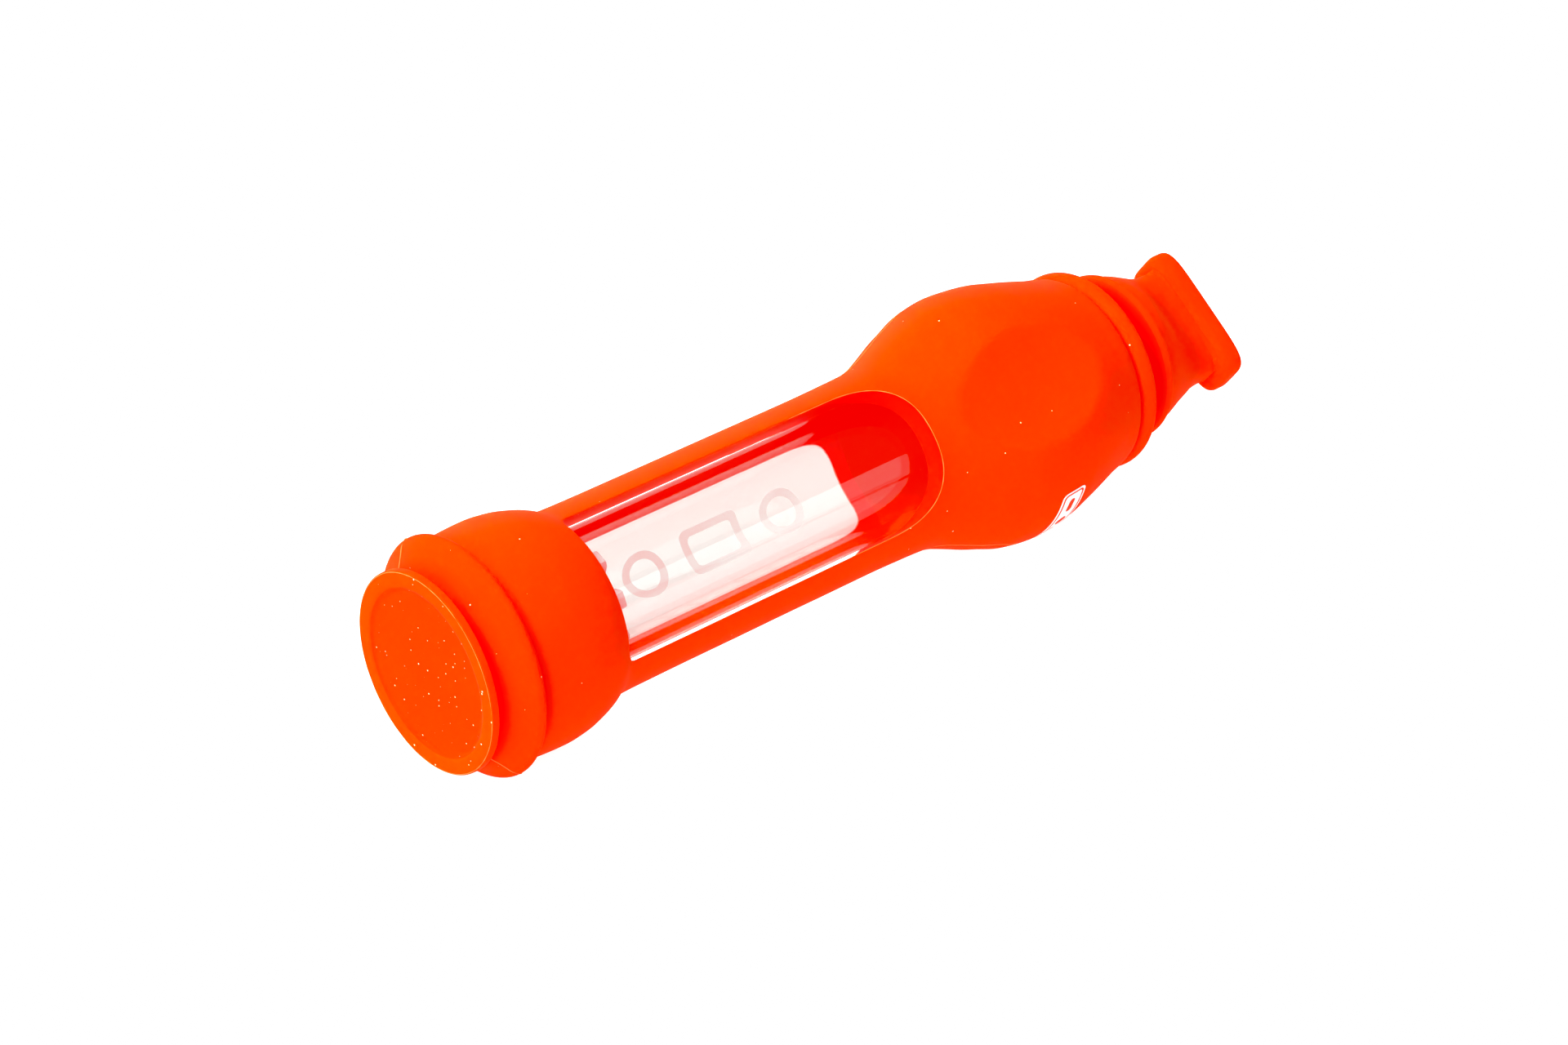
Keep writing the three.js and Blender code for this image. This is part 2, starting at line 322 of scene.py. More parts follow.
def quarter_sleeve():
    """Grids of (x, w, h) for the quarter of the sleeve with w and h both positive."""
    line = split_outline(window_outline())
    normal = outline_normals(line)
    count = len(line)
    edge = line + EDGE_ROUND * normal
    edge[0, 1] = 0
    edge[-1, 1] = 0

    def outer_h(x, w):
        return math.sqrt(max(curve_r(x) ** 2 - w * w, 0))

    # round the window, from its rounded edge out to a rectangle of the skin
    first, last = END_SEGMENTS, END_SEGMENTS + SIDE_SEGMENTS
    skin = []
    for ring in range(SKIN_RINGS + 1):
        v = (ring / SKIN_RINGS) ** 1.5
        row = []
        for i in range(count):
            x0, w0 = edge[i]
            angle0 = math.asin(w0 / math.hypot(w0, outer_h(x0, w0)))
            if i <= first:
                x1, angle1 = SKIN_START, 0.5 * math.pi * i / first
            elif i < last:
                x1 = SKIN_START + (SKIN_END - SKIN_START) * (i - first) / SIDE_SEGMENTS
                angle1 = 0.5 * math.pi
            else:
                x1, angle1 = SKIN_END, 0.5 * math.pi * (count - 1 - i) / END_SEGMENTS
            x, angle = x0 + v * (x1 - x0), angle0 + v * (angle1 - angle0)
            r = sleeve_r(x, angle)
            row.append((x, r * math.sin(angle), r * math.cos(angle)))
        skin.append(row)

    # the rounded edge and the cut wall under it, down to the bore or to the middle of the rail
    wall = []
    for i in range(count):
        x, w = line[i]
        top = outer_h(x, w)
        bottom = math.sqrt(max(BORE_R**2 - w * w, 0))
        if first <= i <= last:
            bottom = 0
        drop = min(1.6 * EDGE_ROUND, 0.4 * (top - bottom))
        ends = [np.array(skin[0][i]), np.array([x, w, top]), np.array([x, w, top - drop])]
        column = []
        for t in np.linspace(0, 1, 7):
            column.append((1 - t) ** 2 * ends[0] + 2 * t * (1 - t) * ends[1] + t * t * ends[2])
        for t in np.linspace(0, 1, 9)[1:]:
            column.append(np.array([x, w, (1 - t) * (top - drop) + t * bottom]))
        wall.append(column)
    wall = [[wall[i][k] for i in range(count)] for k in range(len(wall[0]))]

    # the two ends: outside skin, end face and its rounded edges
    def end_grid(profile):
        grid = []
        for x, r in profile:
            row = []
            for i in range(END_SEGMENTS + 1):
                angle = 0.5 * math.pi * i / END_SEGMENTS
                radius = min(r, sleeve_r(x, angle))
                row.append((x, radius * math.sin(angle), radius * math.cos(angle)))
            grid.append(row)
        return grid

    low, high = SLEEVE_START, SLEEVE_END
    grip_x = high - GRIP_ROUND
    left_profile = arc(low + FACE_ROUND, BORE_R + FACE_ROUND, FACE_ROUND, 270, 180)
    left_profile += [(x, curve_r(x)) for x in np.linspace(low, low + 1, 14)]
    left_profile += [(x, curve_r(x)) for x in np.linspace(low + 1.2, SKIN_START, 24)]
    right_profile = [(x, curve_r(x)) for x in np.linspace(SKIN_END, grip_x, 100)]
    right_profile += arc(grip_x, curve_r(grip_x) - GRIP_ROUND, GRIP_ROUND, 75, 0)
    right_profile += arc(high - FACE_ROUND, BORE_R + FACE_ROUND, FACE_ROUND, 0, -90)
    left_end = end_grid(left_profile)
    right_end = end_grid(right_profile)

    def bore_grid(samples, end_x, steps):
        grid = []
        for k in range(steps + 1):
            v = k / steps
            row = []
            for i, (x, w) in enumerate(samples):
                angle0 = math.asin(min(w / BORE_R, 1))
                angle = angle0 + v * (0.5 * math.pi * i / END_SEGMENTS - angle0)
                row.append((x + v * (end_x - x), BORE_R * math.sin(angle), BORE_R * math.cos(angle)))
            grid.append(row)
        return grid

    left_bore = bore_grid(line[: first + 1], low + FACE_ROUND, 8)
    right_bore = bore_grid(line[last:][::-1], high - FACE_ROUND, 20)
    return [skin, wall, left_end, right_end, left_bore, right_bore]


def make_sleeve():
    points, faces = [], []
    for grid in quarter_sleeve():
        rows, columns = len(grid), len(grid[0])
        flat = [p for row in grid for p in row]
        for side in (1, -1):
            for end in (1, -1):
                quads = grid_faces(rows, columns, len(points))
                if side * end < 0:
                    quads = [q[::-1] for q in quads]
                points += [put(x, side * w, end * h) for x, w, h in flat]
                faces += quads
    return add_object("sleeve_skin", points, faces, sharp=40, weld=3e-6)


# The stopper


STOPPER_STEM_END = 13.0
STEM_ROUND = 0.5
RIM_ROUND = 0.2
STOPPER_FACE = [
    (0.34, 0.0), (0.34, 4.0), (0.34, 8.0), (0.33, 9.2), (0.3, 9.55), (0.22, 9.75), (0.1, 9.92),
    (0.03, 10.1), (0.0, 10.35), (-0.01, 10.9), (0.0, 11.4),
]
BEAD_RISE = [(2.6, 11.2), (3.2, 12.0), (3.8, 12.8), (4.3, 13.5)]
STOPPER_BEAD = [
    (1.05, 10.2), (1.3, 9.95), (1.65, 10.0), (2.05, 10.45), *BEAD_RISE, (4.7, 13.95), (BEAD_X, BEAD_R),
    (5.45, 14.07), (5.75, 13.8), (5.95, 13.35), (6.06, 12.8), (6.12, 12.0), (6.12, 11.0),
]


def make_stopper():
    """The disc with its recessed face, the cove and bead behind it, and the stem."""
    rim = DISC_R - RIM_ROUND
    profile = STOPPER_FACE + arc(0.18, rim, 0.18, 180, 90)
    profile += arc(0.8, rim, RIM_ROUND, 90, 0, 5)
    profile += [(1.0, 11.2), (1.0, 10.6)]
    profile += [tuple(p) for p in soft_curve(STOPPER_BEAD)]
    profile += [(6.12, 9.0)]
    profile += [(x, STEM_R) for x in (6.12, 7.0, 9.0, 11.0, 12.5)]
    profile += arc(STOPPER_STEM_END - STEM_ROUND, STEM_R - STEM_ROUND, STEM_ROUND, 70, 0, 5)
    profile += [(STOPPER_STEM_END, 3.0), (STOPPER_STEM_END, 0.0)]
    return turned("stopper_body", profile)


# The mouthpiece: one loop of sections, out over the stem and rings and back in through the airway


def section(x, a, b, power, segments=144):
    """A rounded section of half-length a and half-depth b, turned with the lip."""
    row = []
    for j in range(segments):
        angle = 2 * math.pi * (j + 0.5) / segments
        c, s = math.cos(angle), math.sin(angle)
        w = math.copysign(a * abs(c) ** (2 / power), c)
        h = math.copysign(b * abs(s) ** (2 / power), s)
        row.append(put(x, w, h, LIP_TURN))
    return row


MOUTH_STEM_START = 90.0
AIRWAY_R = 2.4
SLOT_HALF_LENGTH = 4.4
SLOT_HALF_DEPTH = 1.2
SLOT_ROUND = 0.4
SLOT_LENGTH = 11
LIP_MIDDLES = (115.95, 116.95)
LIP_CORE_LENGTH = 7.55
LIP_CORE_DEPTH = 2.5
LIP_ROUND = 1.25
NECK_DEPTH = 3.15
FLATTEN_START = 104.8
FLATTEN_END = 113.5
RINGS = [
    (96.74, 8.0), (96.76, 10.2), (96.84, 10.9), (97.0, 11.45), (97.3, 11.93), (97.8, 12.22),
    (98.35, 12.32), (98.8, 12.26), (99.12, 12.02), (99.32, 11.6), (99.42, 11.0), (99.5, 10.3),
    (99.7, 9.85), (100.3, 9.65), (101.2, 9.7), (101.9, 9.9), (102.5, 10.15), (103.0, 10.34),
    (103.4, 10.38), (103.72, 10.27), (103.92, 10.03), (104.1, 9.85), (104.6, 9.75), (105.4, 9.55),
    (106.4, 9.2), (107.8, 8.68), (109.4, 8.17), (111.0, 7.65), (112.3, 7.42), (113.5, 7.36),
    (114.4, 7.3),
]


def mouthpiece_path():
    """The (x, half-length, half-depth, power) of each section, outside first and then inside."""
    path = []
    for x, r in arc(MOUTH_STEM_START + STEM_ROUND, STEM_R - STEM_ROUND, STEM_ROUND, 180, 90, 5):
        path.append((x, r, r, 2))
    for x in (92, 94, 96, 96.72):
        path.append((x, STEM_R, STEM_R, 2))
    for x, r in soft_curve(RINGS, 4):
        flat = smoothstep(FLATTEN_START, FLATTEN_END, x)
        path.append((x, r, r + flat * (NECK_DEPTH - r), 2 + 1.2 * flat))

    # the lip, no shallower than the neck where the two meet
    thinner = LIP_CORE_LENGTH - LIP_CORE_DEPTH
    for x, a in arc(LIP_MIDDLES[0], LIP_CORE_LENGTH, LIP_ROUND, 190, 90, 10):
        path.append((x, a, max(a - thinner, NECK_DEPTH), 5))
    for x, a in arc(LIP_MIDDLES[1], LIP_CORE_LENGTH, LIP_ROUND, 90, 0, 8):
        path.append((x, a, a - thinner, 5))
    for inset in (1.5, 3.0):
        path.append((LENGTH, LIP_CORE_LENGTH - inset, LIP_CORE_DEPTH - 0.3 * inset, 4.5))

    # the slot, which narrows to the round airway
    slot_x = LENGTH - SLOT_ROUND
    for x, grow in arc(slot_x, SLOT_ROUND, SLOT_ROUND, 0, -90, 4):
        path.append((x, SLOT_HALF_LENGTH + grow, SLOT_HALF_DEPTH + grow, 4))
    for t in np.linspace(0.1, 1, 8):
        flat = 1 - smoothstep(0.2, 1, t)
        a = AIRWAY_R + flat * (SLOT_HALF_LENGTH - AIRWAY_R)
        b = AIRWAY_R + flat * (SLOT_HALF_DEPTH - AIRWAY_R)
        path.append((slot_x - SLOT_LENGTH * t, a, b, 2 + 2 * flat))
    for x in (102, 98, 94, 90.6):
        path.append((x, AIRWAY_R, AIRWAY_R, 2))
    for x, r in arc(MOUTH_STEM_START + 0.3, AIRWAY_R + 0.3, 0.3, 270, 180, 3):
        path.append((x, r, r, 2))
    return path


def make_mouthpiece():
    rows = [section(*place) for place in mouthpiece_path()]
    points = [p for row in rows for p in row]
    faces = grid_faces(len(rows), len(rows[0]), wrap_rows=True, wrap_columns=True)
    return add_object("mouthpiece_body", points, faces, sharp=50)


# The glass


SCREEN_LOBES = 8
SCREEN_TURN = math.radians(19.5)
SCREEN_ROUND = 0.35
SCREEN_NOTCH_R = 4.3
LOBE_STEPS = 20
FACE_INSET = -1.6
TUBE_STEPS = 40


def make_tube():
    """The plain tube, with both ends fire-polished round."""
    r_end = 0.5 * (GLASS_R - GLASS_INNER_R)
    middle = 0.5 * (GLASS_R + GLASS_INNER_R)
    straight = np.linspace(GLASS_START + 2, GLASS_END - 2, TUBE_STEPS)
    profile = arc(GLASS_START + r_end, middle, r_end, 270, 90, 12)
    profile += [(x, GLASS_R) for x in straight]
    profile += arc(GLASS_END - r_end, middle, r_end, 90, -90, 12)
    profile += [(x, GLASS_INNER_R) for x in straight[::-1]]
    return turned("tube_wall", profile, closed=True)


def make_screen():
    """A pressed glass disc whose eight lobes reach the wall, with rounded edges."""
    low, high = along(SCREEN_LOW.x), along(SCREEN_HIGH.x)
    lobe_r = GLASS_INNER_R - 0.03
    steps = SCREEN_LOBES * LOBE_STEPS
    path = [(low, FACE_INSET), (low, -SCREEN_ROUND)]
    path += arc(low + SCREEN_ROUND, -SCREEN_ROUND, SCREEN_ROUND, 180, 90, 4)
    path += arc(high - SCREEN_ROUND, -SCREEN_ROUND, SCREEN_ROUND, 90, 0, 4)
    path += [(high, -SCREEN_ROUND), (high, FACE_INSET)]
    rows = []
    for x, inset in path:
        row = []
        for j in range(steps):
            angle = 2 * math.pi * j / steps
            wave = smoothstep(0, 1, 0.5 + 0.85 * math.cos(SCREEN_LOBES * angle))
            r = SCREEN_NOTCH_R + (lobe_r - SCREEN_NOTCH_R) * wave + inset
            row.append(put(x, r * math.sin(angle), r * math.cos(angle), SCREEN_TURN))
        rows.append(row)
    points = [p for row in rows for p in row]
    faces = grid_faces(len(rows), steps, wrap_columns=True)
    faces.append(tuple(range(steps)))
    faces.append(tuple(reversed(range((len(rows) - 1) * steps, len(rows) * steps))))
    return add_object("screen_disc", points, faces, sharp=50)


# Prints on the surface, laid as thin slabs with rounded outlines


def rounded(half_p, half_q, radius, steps=8):
    """A rounded rectangle's outline in (p, q), round its middle."""
    outline = []
    for corner, (sp, sq) in enumerate([(1, 1), (-1, 1), (-1, -1), (1, -1)]):
        for a in np.linspace(0, math.pi / 2, steps):
            angle = a + corner * math.pi / 2
            outline.append((
                sp * (half_p - radius) + radius * math.cos(angle),
                sq * (half_q - radius) + radius * math.sin(angle),
            ))
    return outline


def edge_steps(outline, length):
    """The outline with its long straight stretches cut into steps, so that it bends with the surface."""
    cut = []
    for (p0, q0), (p1, q1) in zip(outline, outline[1:] + outline[:1]):
        count = max(1, math.ceil(math.hypot(p1 - p0, q1 - q0) / length))
        cut += [(p0 + (p1 - p0) * k / count, q0 + (q1 - q0) * k / count) for k in range(count)]
    return cut


def band(outer, inner, lay, low, high, points, faces):
    """A closed loop of slab between two outlines with as many points, laid on a surface by lay(p, q, h)."""
    count = len(outer)
    start = len(points)
    for outline, h in ((outer, low), (outer, high), (inner, high), (inner, low)):
        points += [lay(p, q, h) for p, q in outline]
    for k in range(4):
        for j in range(count):
            a = start + k * count + j
            b = start + k * count + (j + 1) % count
            c = start + (k + 1) % 4 * count + (j + 1) % count
            d = start + (k + 1) % 4 * count + j
            faces.append((a, b, c, d))


def patch(outline, lay, low, high, points, faces, rings=6):
    """A filled slab: bands that shrink towards the middle, closed with a cap there."""
    start = len(points)
    count = len(outline)
    scales = np.linspace(1, 0.08, rings)
    for h, order in ((low, scales[::-1]), (high, scales)):
        for scale in order:
            points += [lay(p * scale, q * scale, h) for p, q in outline]
    rows = 2 * rings
    for k in range(rows - 1):
        for j in range(count):
            a = start + k * count + j
            b = start + k * count + (j + 1) % count
            faces.append((a, b, b + count, a + count))
    faces.append(tuple(start + j for j in reversed(range(count))))
    faces.append(tuple(start + (rows - 1) * count + j for j in range(count)))


BADGE_X = 83.2
BADGE_TURN = math.radians(137.5)
BADGE_HALF = (9.2, 1.95)
BADGE_MARGIN = 0.32
BADGE_STROKE = 0.18
BADGE_STEP = 3.3
BAR = (1.15, 0.42, 0.4)
DOT = (0.75, 0.75, 0.74)
PANEL_DEPTH = (-0.05, 0.04)
MARK_DEPTH = (0.0, 0.06)

MOTIF_X = 44.5
MOTIF_STEP = 10.2
MOTIF_STROKE = 1.0
MOTIF_DEPTH = (0.004, 0.03)
MOTIF_SHAPES = [(3.0, 3.0, 3.0), (4.2, 3.0, 0.9), (3.0, 3.0, 3.0)]


def make_badge():
    """A printed panel on the bulb's side, with a line round it and plain bars and dots in it."""

    def lay(p, q, h):
        x = BADGE_X + q
        return put(x, 0, curve_r(x) + h, BADGE_TURN + p / BULB_R)

    half_p, half_q = BADGE_HALF
    points, faces = [], []
    patch(edge_steps(rounded(half_p, half_q, 0.8), 0.6), lay, *PANEL_DEPTH, points, faces)
    panel = add_object("badge_panel", points, faces, sharp=40, weld=1e-7)

    points, faces = [], []
    line_p, line_q = half_p - BADGE_MARGIN, half_q - BADGE_MARGIN
    line = edge_steps(rounded(line_p, line_q, 0.6), 0.6)
    inner = [(p * (1 - BADGE_STROKE / line_p), q * (1 - BADGE_STROKE / line_q)) for p, q in line]
    band(line, inner, lay, *MARK_DEPTH, points, faces)
    for k in range(5):
        middle = BADGE_STEP * (k - 2)
        shape = rounded(*(DOT if k % 2 else BAR))
        patch(shape, lambda p, q, h, m=middle: lay(p + m, q, h), *MARK_DEPTH, points, faces, 3)
    marks = add_object("badge_marks", points, faces, sharp=40, weld=1e-7)
    return panel, marks


def make_motif():
    """A row of plain frosted outlines on the inside of the tube, in the lower window."""
    points, faces = [], []
    for k, (half_p, half_q, radius) in enumerate(MOTIF_SHAPES):
        outer = edge_steps(rounded(half_p, half_q, radius, 12), 0.5)
        inner = [(p * (1 - MOTIF_STROKE / half_p), q * (1 - MOTIF_STROKE / half_q)) for p, q in outer]

        def lay(p, q, h, middle=MOTIF_X + MOTIF_STEP * (k - 1)):
            turn = WINDOW_TURN + math.pi + q / GLASS_INNER_R
            return put(middle + p, 0, GLASS_INNER_R - h, turn)

        band(outer, inner, lay, *MOTIF_DEPTH, points, faces)
    return add_object("tube_motif", points, faces, sharp=40, weld=1e-7)


# Mould flash, and a thread round the disc's rim painted pale as its highlight

BEAD_FLASH_LINE = soft_curve([(1.9, 10.25), *BEAD_RISE, (BEAD_X, BEAD_R), (5.5, 14.05)])
BULB_FLASH_LINE = [(x, curve_r(x)) for x in np.linspace(67.5, 78.5, 90)]
WINDOW_FLASH_START = 52


def ridge(name, line, half_width, height):
    """Thin mould flash: a low ridge along an (x, r) line, at each of the two parting lines."""
    points, faces = [], []
    line = np.array(line)
    for turn in FLASH_TURNS:
        slope = np.gradient(line, axis=0)
        slope /= np.linalg.norm(slope, axis=1)[:, None]
        start = len(points)
        for k, ((x, r), (dx, dr)) in enumerate(zip(line, slope)):
            end = min(k, len(line) - 1 - k)
            wander = noise.noise(Vector((x * 1.7, turn, 0.5)))
            top = height * min(1, 0.2 + end / 3) * (1 + 0.5 * wander)
            for w, h in ((half_width, -0.05), (0.4 * half_width, top), (-0.4 * half_width, top),
                         (-half_width, -0.05)):
                points.append(put(x - dr * h, w + 0.05 * wander, r + dx * h, turn))
        rows = len(line)
        for i in range(rows - 1):
            for j in range(4):
                a = start + 4 * i + j
                b = start + 4 * i + (j + 1) % 4
                faces.append((a, b, b + 4, a + 4))
        faces.append((start + 3, start + 2, start + 1, start))
        last = start + 4 * (rows - 1)
        faces.append((last, last + 1, last + 2, last + 3))
    return add_object(name, points, faces, sharp=30, weld=1e-7)


def thread(name, paths, radius, sides=6):
    """Thin threads of uneven width along paths of frame points, each closed or with fading ends."""
    points, faces = [], []
    for path, closed in paths:
        start = len(points)
        count = len(path)
        for k in range(count):
            before = Vector(path[k - 1 if closed else max(k - 1, 0)])
            after = Vector(path[(k + 1) % count if closed else min(k + 1, count - 1)])
            ahead = (after - before).normalized()
            side = ahead.cross(Vector((0.3, 0.5, 0.81))).normalized()
            up = ahead.cross(side)
            here = Vector(path[k])
            fade = 1.0 if closed else min(1.0, 0.15 + min(k, count - 1 - k) / 8)
            r = radius * MM * fade * (0.75 + 0.6 * noise.noise(here * 900))
            for j in range(sides):
                a = 2 * math.pi * j / sides
                points.append(here + side * (r * math.cos(a)) + up * (r * math.sin(a)))
        rows = count if closed else count - 1
        for i in range(rows):
            for j in range(sides):
                a = start + i * sides + j
                b = start + i * sides + (j + 1) % sides
                c = start + (i + 1) % count * sides + (j + 1) % sides
                d = start + (i + 1) % count * sides + j
                faces.append((a, b, c, d))
        if not closed:
            faces.append(tuple(start + j for j in reversed(range(sides))))
            faces.append(tuple(start + (count - 1) * sides + j for j in range(sides)))
    return add_object(name, points, faces, sharp=60, weld=1e-8)


def make_rim_highlight_thread():
    """A fine raised thread round the front edge of the stopper's disc, painted pale as the highlight along
    that edge.
    """
    path = [put(0.02, 0, DISC_R - 0.17, a) for a in np.linspace(0, 2 * math.pi, 240, endpoint=False)]
    return thread("rim_painted_highlight", [(path, True)], FLASH_THREAD)


def make_window_flash():
    """The fine lip of flash left round the grip end of each window."""
    line = resample(window_outline(), 400)
    line = line[line[:, 0] > WINDOW_FLASH_START]
    line = np.vstack([line, line[::-1][1:] * (1, -1)])
    paths = []
    for end in (1, -1):
        path = [put(x + 0.02, end * w, end * (math.sqrt(curve_r(x) ** 2 - w * w) - 0.02)) for x, w in line]
        paths.append((path, False))
    return thread("window_flash", paths, FLASH_THREAD)


# Materials

ORANGE = (0.96, 0.05, 0.0)
STOPPER_ORANGE = (0.96, 0.042, 0.0)
# painted light and shade: the disc's rim is painted lighter, as if lit through its thin flange, and its
# recessed face darker
FLANGE_PAINTED_LIGHT_ORANGE = (0.97, 0.053, 0.0)
FACE_PAINTED_SHADE_ORANGE = (0.96, 0.036, 0.0)
# painted shade: the deep red that the cove behind the disc is darkened to
COVE_SHADE_RED = (0.93, 0.02, 0.0)
# painted shade: the deep red that the window's cut wall at the grip end is darkened to
CUT_SHADE_RED = (0.9, 0.012, 0.0)
# painted shade: the deep red that the mouthpiece's valley between its rings is darkened to
GROOVE_SHADE_RED = (0.9, 0.008, 0.0)
# pale mould flash; the same colour is the painted highlight on the thread round the disc's rim
FLASH_AND_HIGHLIGHT_PALE = (0.98, 0.2, 0.05)
DUST_PALE = (0.98, 0.6, 0.42)
DUST_CELLS = 1100.0
DUST_SIZE = 0.12
FLAT_DUST_CELLS = 640.0
FLAT_DUST_SIZE = 0.06
GLASS_IOR = 1.48


def new_material(name):
    material = bpy.data.materials.new(name)
    material.use_nodes = True
    nodes = material.node_tree.nodes
    nodes.clear()
    output = nodes.new("ShaderNodeOutputMaterial")
    shader = nodes.new("ShaderNodeBsdfPrincipled")
    material.node_tree.links.new(shader.outputs["BSDF"], output.inputs["Surface"])
    return material, shader


def node(material, kind, **settings):
    """A new node, with each setting put on the input or the property of that name."""
    made = material.node_tree.nodes.new(kind)
    for key, value in settings.items():
        if key in made.inputs:
            made.inputs[key].default_value = value
        else:
            setattr(made, key, value)
    return made


def join(material, source, target):
    material.node_tree.links.new(source, target)


def map_range(material, value, low, high, to_low=0.0, to_high=1.0):
    """A value carried over from low..high to to_low..to_high, and held at those ends."""
    made = node(material, "ShaderNodeMapRange")
    made.inputs["From Min"].default_value = low
    made.inputs["From Max"].default_value = high
    made.inputs["To Min"].default_value = to_low
    made.inputs["To Max"].default_value = to_high
    join(material, value, made.inputs["Value"])
    return made.outputs["Result"]


def mix(material, factor, a, b):
    """Two colours mixed by a factor; b is a plain colour, and a may be one or a node's output."""
    made = node(material, "ShaderNodeMix", data_type="RGBA")
    join(material, factor, made.inputs["Factor"])
    if isinstance(a, tuple):
        made.inputs["A"].default_value = (*a, 1)
    else:
        join(material, a, made.inputs["A"])
    made.inputs["B"].default_value = (*b, 1)
    return made.outputs["Result"]


def place_parts(material, place):
    split = node(material, "ShaderNodeSeparateXYZ")
    join(material, place, split.inputs["Vector"])
    return split.outputs


def painted_shade_ramp(material, place, measure, start, end):
    """The painted shade's mask: 0 to 1 over a stretch, in millimetres, of x along the pipe or of r from its
    axis.
    """
    if measure == "x":
        return map_range(material, place_parts(material, place)["X"], START + MM * start, START + MM * end)
    across = node(material, "ShaderNodeVectorMath", operation="MULTIPLY_ADD")
    across.inputs[1].default_value = (0, 1, 1)
    across.inputs[2].default_value = (0, -AXIS_Y, -AXIS_Z)
    join(material, place, across.inputs[0])
    size = node(material, "ShaderNodeVectorMath", operation="LENGTH")
    join(material, across.outputs["Vector"], size.inputs[0])
    return map_range(material, size.outputs["Value"], MM * start, MM * end)


def dust(material, place, share, flat):
    """1 on specks of many sizes, near the feature points of the chosen share of the cells."""
    specks = node(material, "ShaderNodeTexVoronoi", Scale=DUST_CELLS, Randomness=1.0)
    if flat:
        parts = place_parts(material, place)
        laid = node(material, "ShaderNodeCombineXYZ")
        join(material, parts["Y"], laid.inputs["X"])
        join(material, parts["Z"], laid.inputs["Y"])
        specks.voronoi_dimensions = "2D"
        specks.inputs["Scale"].default_value = FLAT_DUST_CELLS
        join(material, laid.outputs["Vector"], specks.inputs["Vector"])
    else:
        join(material, place, specks.inputs["Vector"])
    chance = node(material, "ShaderNodeSeparateColor")
    join(material, specks.outputs["Color"], chance.inputs["Color"])
    largest = FLAT_DUST_SIZE if flat else DUST_SIZE
    near = node(material, "ShaderNodeMath", operation="LESS_THAN")
    join(material, specks.outputs["Distance"], near.inputs[0])
    join(material, map_range(material, chance.outputs["Red"], 1 - share, 1.0, 0.0, largest), near.inputs[1])
    return near.outputs["Value"]


def silicone(name, color, seed, dusty, flat=False, deep=None):
    """Matt soft silicone. dusty is the share of the dust's cells that hold a speck; flat lays the
    cells out over y and z, for a face square to x; deep is (measure, start, end, colour), a painted
    shade: the colour that the surface is darkened to from start to end of x or r, in a recess."""
    material, shader = new_material(name)
    shader.inputs["Specular IOR Level"].default_value = 0.05
    shader.inputs["Specular Tint"].default_value = (1.0, 0.25, 0.0, 1)
    shader.inputs["Subsurface Weight"].default_value = 0.5
    shader.inputs["Subsurface Radius"].default_value = (1.0, 0.03, 0.01)
    shader.inputs["Subsurface Scale"].default_value = 0.007
    place = node(material, "ShaderNodeTexCoord").outputs["Object"]

    blotch = node(material, "ShaderNodeTexNoise", Scale=90.0 + seed, Detail=3.0)
    join(material, place, blotch.inputs["Vector"])
    red, green, blue = color
    skin = mix(material, blotch.outputs["Fac"], color, (red * 0.98, green * 0.88, blue))
    # painted shade: the colour is darkened towards the given red over the stretch, in place of the shade in
    # a recess
    if deep:
        *stretch, painted_shade_colour = deep
        skin = mix(material, painted_shade_ramp(material, place, *stretch), skin, painted_shade_colour)
    skin = mix(material, dust(material, place, dusty, flat), skin, DUST_PALE)
    join(material, skin, shader.inputs["Base Color"])
    join(material, map_range(material, blotch.outputs["Fac"], 0, 1, 0.62, 0.75), shader.inputs["Roughness"])

    grain = node(material, "ShaderNodeTexNoise", Scale=2600.0, Detail=2.0)
    join(material, place, grain.inputs["Vector"])
    bump = node(material, "ShaderNodeBump", Strength=0.12, Distance=0.00002)
    join(material, grain.outputs["Fac"], bump.inputs["Height"])
    join(material, bump.outputs["Normal"], shader.inputs["Normal"])
    return material


def clear_glass(name, roughness, tint, transmission=1.0):
    material, shader = new_material(name)
    shader.inputs["Base Color"].default_value = (*tint, 1)
    shader.inputs["Transmission Weight"].default_value = transmission
    shader.inputs["IOR"].default_value = GLASS_IOR
    shader.inputs["Roughness"].default_value = roughness
    return material


def plain(name, color, roughness):
    material, shader = new_material(name)
    shader.inputs["Base Color"].default_value = (*color, 1)
    shader.inputs["Roughness"].default_value = roughness
    shader.inputs["Specular IOR Level"].default_value = 0.2
    return material


# Light, floor and camera


FLOOR_HALF = 6.0
FLOOR_GLOW = 0.93
WORLD_GLOW = 0.15
CAMERA_TURN = math.radians(41.09)
CAMERA_DOWN = math.radians(32.19)
# where the disc's middle lies from the camera, in millimetres
DISC_RIGHT, DISC_UP, DISC_AHEAD = -38.65, -16.30, 492.2


